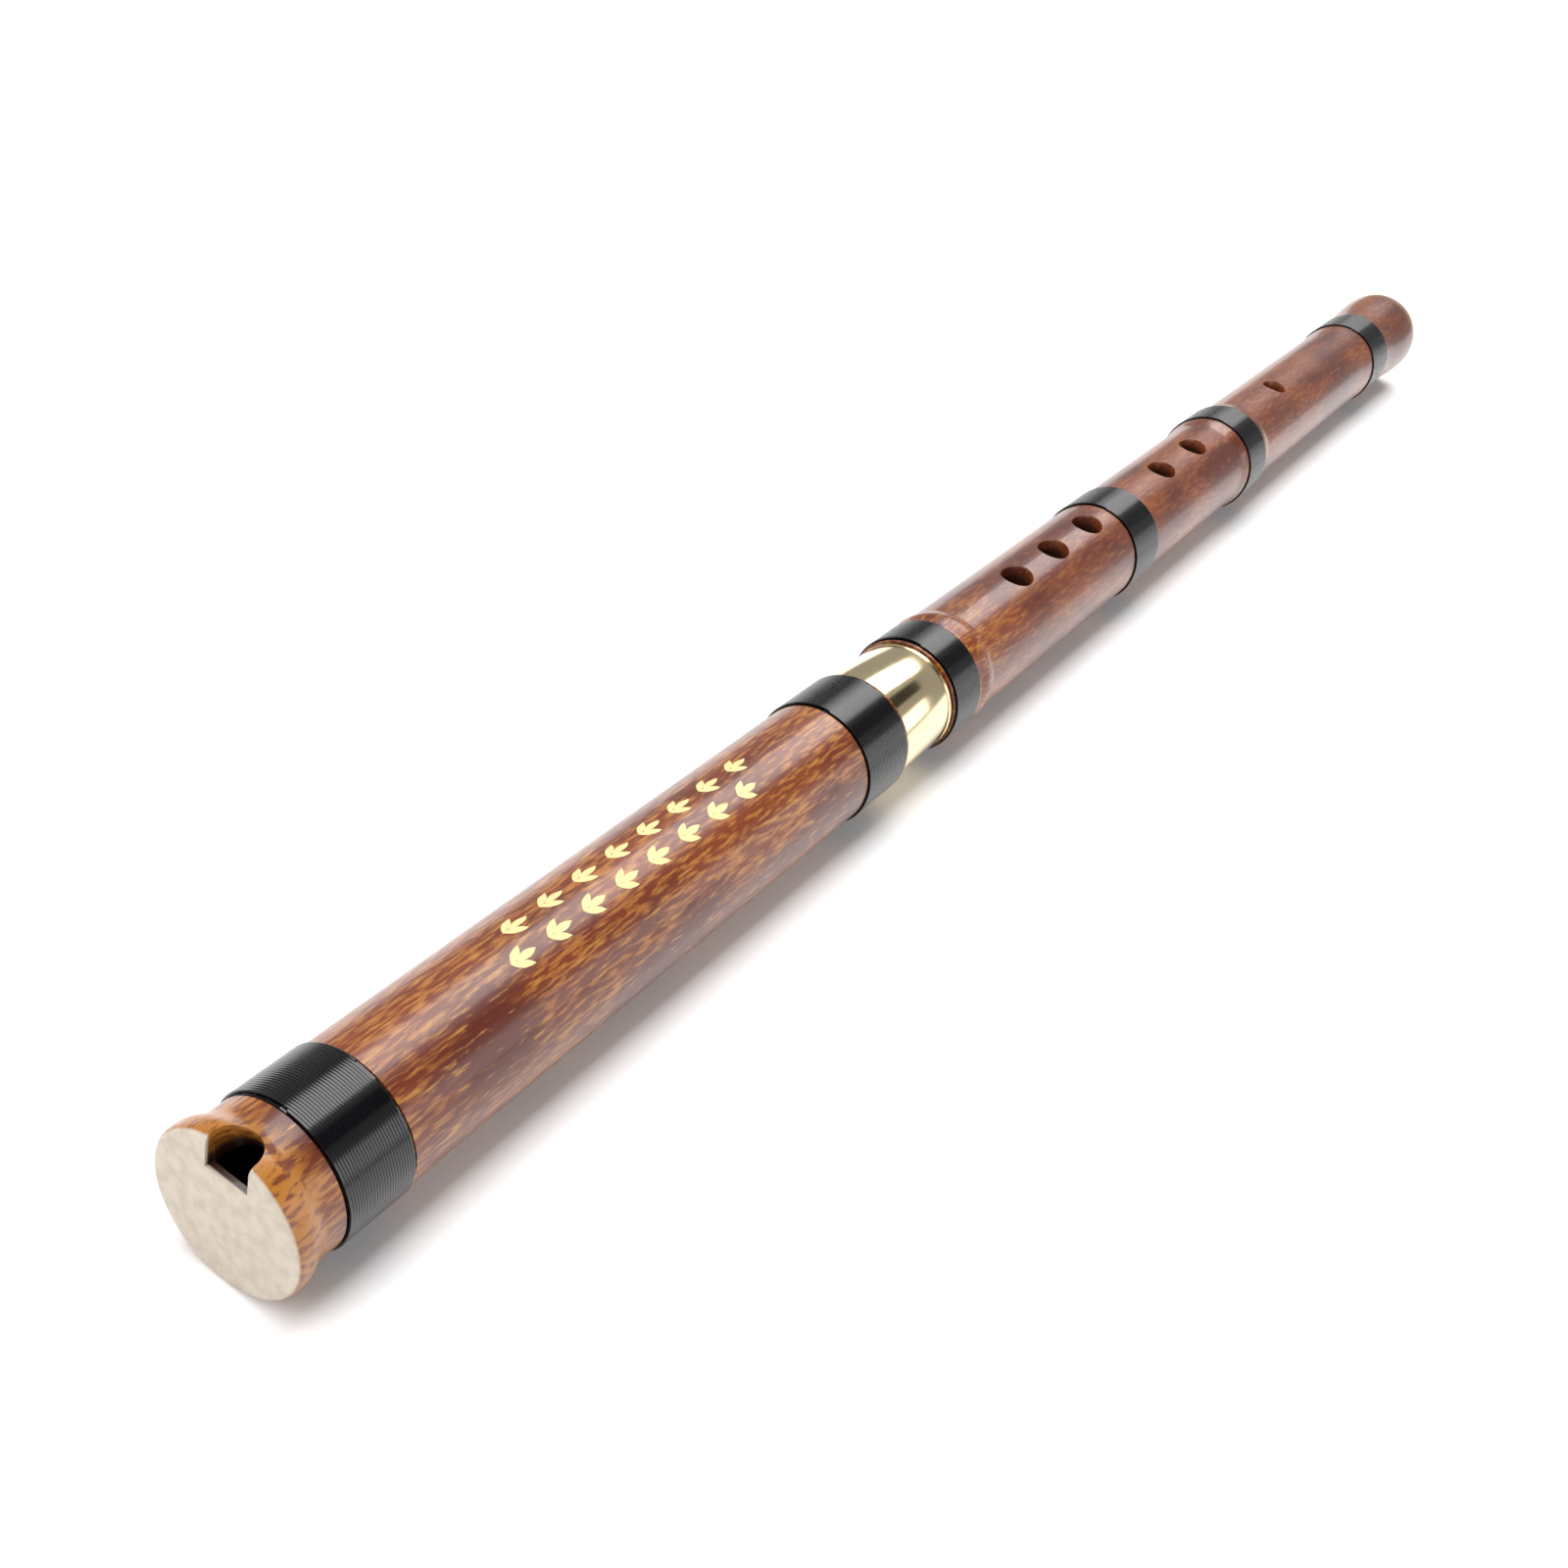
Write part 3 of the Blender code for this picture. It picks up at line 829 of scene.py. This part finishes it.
    def build(self) -> bpy.types.Object:
        """Turn the culm, cut its holes and dress it."""
        piece = turn("foot_culm", self.outline())
        oval = (self.hole_length, self.hole_width)
        for x in self.front_holes():
            self.drill(piece, x, oval, 1)
        self.drill(piece, self.front_holes()[0] - self.thumb_offset, oval, -1)
        for side in (1, -1):
            self.drill(piece, FOOT_X - self.vent_offset, (self.vent, self.vent), side)
        piece.data.materials.append(self.finish)
        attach(piece, Section.FOOT.value)
        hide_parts("foot_tube")
        return piece


@dataclass
class BrassJoint:
    """The polished sleeve over the seam, the liner inside it and the tenon."""

    finish: bpy.types.Material
    edge: float = 0.25 * MM
    edge_steps: int = 3
    sleeve_gap: float = 0.3 * MM
    tenon_bore: float = 8.0 * MM
    tenon_radius: float = 9.0 * MM
    collar_start: float = 0.3 * MM
    collar_end: float = 1.3 * MM
    liner_bore: float = 9.1 * MM
    liner_wall: float = 0.8 * MM
    flange: float = 1.0 * MM

    def sleeve(self, name: str, node: str, bore: float, section: Section) -> bpy.types.Object:
        """A plain sleeve with eased outer edges, over a node's own length and diameter."""
        low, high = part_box(node)
        radius = (high.z - low.z) / 2
        points = [(low.x, bore)] + rounded(low.x, radius, self.edge, 1, self.edge_steps)
        points += rounded(high.x, radius, self.edge, -1, self.edge_steps)[::-1]
        points += [(high.x, bore), (low.x, bore)]
        return self.dress(turn(name, points), node, section)

    def dress(self, piece: bpy.types.Object, node: str, section: Section) -> bpy.types.Object:
        """Give a piece its finish and its body, and let it stand for its node."""
        piece.data.materials.append(self.finish)
        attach(piece, section.value)
        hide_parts(node)
        return piece

    def tenon(self) -> bpy.types.Object:
        """The tenon with its collar."""
        low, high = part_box("tenon_tube")
        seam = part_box("socket_ferrule")[1].x
        bore, radius, collar = self.tenon_bore, self.tenon_radius, (high.z - low.z) / 2
        start, end = seam + self.collar_start, seam + self.collar_end
        points = [(low.x, bore)] + rounded(low.x, radius, self.edge, 1, self.edge_steps)
        points += [(start, radius)] + rounded(start, collar, self.edge, 1, self.edge_steps)
        points += rounded(end, collar, self.edge, -1, self.edge_steps)[::-1]
        points += [(end, radius), (high.x, radius), (high.x, bore), (low.x, bore)]
        return self.dress(turn("tenon", points), "tenon_tube", Section.TENON)

    def liner(self) -> bpy.types.Object:
        """The flanged liner that the tenon slides in."""
        low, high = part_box("socket_liner")
        flange = (high.z - low.z) / 2
        bore, outside = self.liner_bore, self.liner_bore + self.liner_wall
        step = high.x - self.flange
        points = [(low.x, bore), (low.x, outside), (step, outside), (step, flange)]
        points += [(high.x, flange), (high.x, bore), (low.x, bore)]
        return self.dress(turn("liner", points), "socket_liner", Section.HEAD)

    def build(self) -> list[bpy.types.Object]:
        """Make the three brass pieces."""
        spigot = (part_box("socket_liner")[1].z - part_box("socket_liner")[0].z) / 2
        sleeve = self.sleeve("ferrule", "socket_ferrule", spigot + self.sleeve_gap, Section.HEAD)
        return [sleeve, self.liner(), self.tenon()]


# The studio


@dataclass(frozen=True)
class SoftBox:
    """A soft lamp that faces the middle of the flute from a direction in its cross-section."""

    name: str
    angle: float
    distance: float
    length: float
    width: float
    power: float

    def build(self) -> None:
        """Hang the lamp at its angle, counted from the near side over the top."""
        turn_angle = math.radians(self.angle)
        away = Vector((0, -math.cos(turn_angle), math.sin(turn_angle)))
        bpy.ops.object.light_add(type="AREA", location=Vector((0, 0, AXIS_Z)) + away * self.distance)
        lamp = bpy.context.active_object
        lamp.name = self.name
        lamp.data.shape = "RECTANGLE"
        lamp.data.size = self.length
        lamp.data.size_y = self.width
        lamp.data.energy = self.power
        sideways = away.cross(Vector((1, 0, 0)))
        lamp.matrix_world = (
            Matrix.Translation(lamp.location)
            @ Matrix((Vector((1, 0, 0)), sideways, away)).transposed().to_4x4()
        )


@dataclass
class Studio:
    """The floor, the lamps and the camera at the photograph's viewpoint."""

    floor_size: float = 8.0
    floor_colour: Colour = (0.95, 0.95, 0.95)
    card_colour: Colour = (0.01, 0.01, 0.01)
    card_size: tuple[float, float] = (2.4, 0.34)
    card_place: tuple[float, float, float] = (0, -0.42, 0.79)
    card_tilt: float = math.radians(28)
    matt: float = 0.9
    world_level: float = 0.35
    lens: float = 40.01
    sensor: float = 36
    nearest: float = 0.01
    camera_place: Vector = field(default_factory=lambda: Vector((-0.1122, -0.1114, 0.2097)))
    right: Vector = field(default_factory=lambda: Vector((0.5372, -0.8116, 0.2296)))
    up: Vector = field(default_factory=lambda: Vector((0.4113, 0.4897, 0.7687)))

    def floor(self) -> None:
        """A plain pale floor that the flute lies on."""
        bpy.ops.mesh.primitive_plane_add(size=self.floor_size, location=(0, 0, 0))
        floor = current("floor")
        floor.data.materials.append(PlainFinish("pale_floor", self.floor_colour, self.matt).build())

    def dark_card(self) -> None:
        """A dark card over the near side, which the brass and lacquer show as a dark line."""
        bpy.ops.mesh.primitive_plane_add(size=1, location=self.card_place, rotation=(self.card_tilt, 0, 0))
        card = current("dark_card")
        card.scale = (*self.card_size, 1)
        card.data.materials.append(PlainFinish("dark_card", self.card_colour, self.matt).build())

    def camera(self) -> None:
        """The camera of the photograph."""
        bpy.ops.object.camera_add(location=self.camera_place + Vector((FACE_X, 0, AXIS_Z)))
        camera = bpy.context.active_object
        right, up = self.right.normalized(), self.up.normalized()
        back = right.cross(up)
        turned = Matrix((right, up, back)).transposed()
        camera.rotation_euler = turned.to_euler()
        camera.data.lens = self.lens
        camera.data.sensor_width = self.sensor
        camera.data.clip_start = self.nearest
        bpy.context.scene.camera = camera

    def build(self) -> None:
        """Set up the studio."""
        self.floor()
        self.dark_card()
        SoftBox("top_box", angle=104, distance=1.1, length=4.0, width=0.8, power=42).build()
        SoftBox("near_box", angle=18, distance=1.2, length=3.2, width=0.6, power=10).build()
        self.camera()
        world = bpy.data.worlds.new("studio")
        world.use_nodes = True
        background = world.node_tree.nodes["Background"]
        background.inputs["Color"].default_value = (1, 1, 1, 1)
        background.inputs["Strength"].default_value = self.world_level
        bpy.context.scene.world = world
        bpy.context.scene.view_settings.view_transform = "Standard"


def report(piece: bpy.types.Object) -> None:
    """Log a finished piece's name and faces."""
    LOG.info("%s: %d faces", piece.name, len(piece.data.polygons))


def main() -> None:
    """Build the flute's pieces in order, then the studio."""
    logging.basicConfig(level=logging.INFO, format="%(message)s")
    bamboo = MottledBamboo().build()
    lacquer = LACQUER.build()
    brass = BRASS.build()
    gold = GOLD.build()
    head = HeadCulm(bamboo).build()
    report(head)
    report(LeafSprigs(head, gold).build())
    report(FootCulm(bamboo).build())
    for piece in BrassJoint(brass).build():
        report(piece)
    for name in HEAD_LASHINGS:
        report(Lashing(name, Section.HEAD, lacquer).build())
    for name in FOOT_LASHINGS:
        report(Lashing(name, Section.FOOT, lacquer).build())
    for name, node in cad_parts.items():
        if name.endswith("_bed"):
            node.data.materials[0] = lacquer
    Studio().build()


if __name__ == "__main__":
    main()
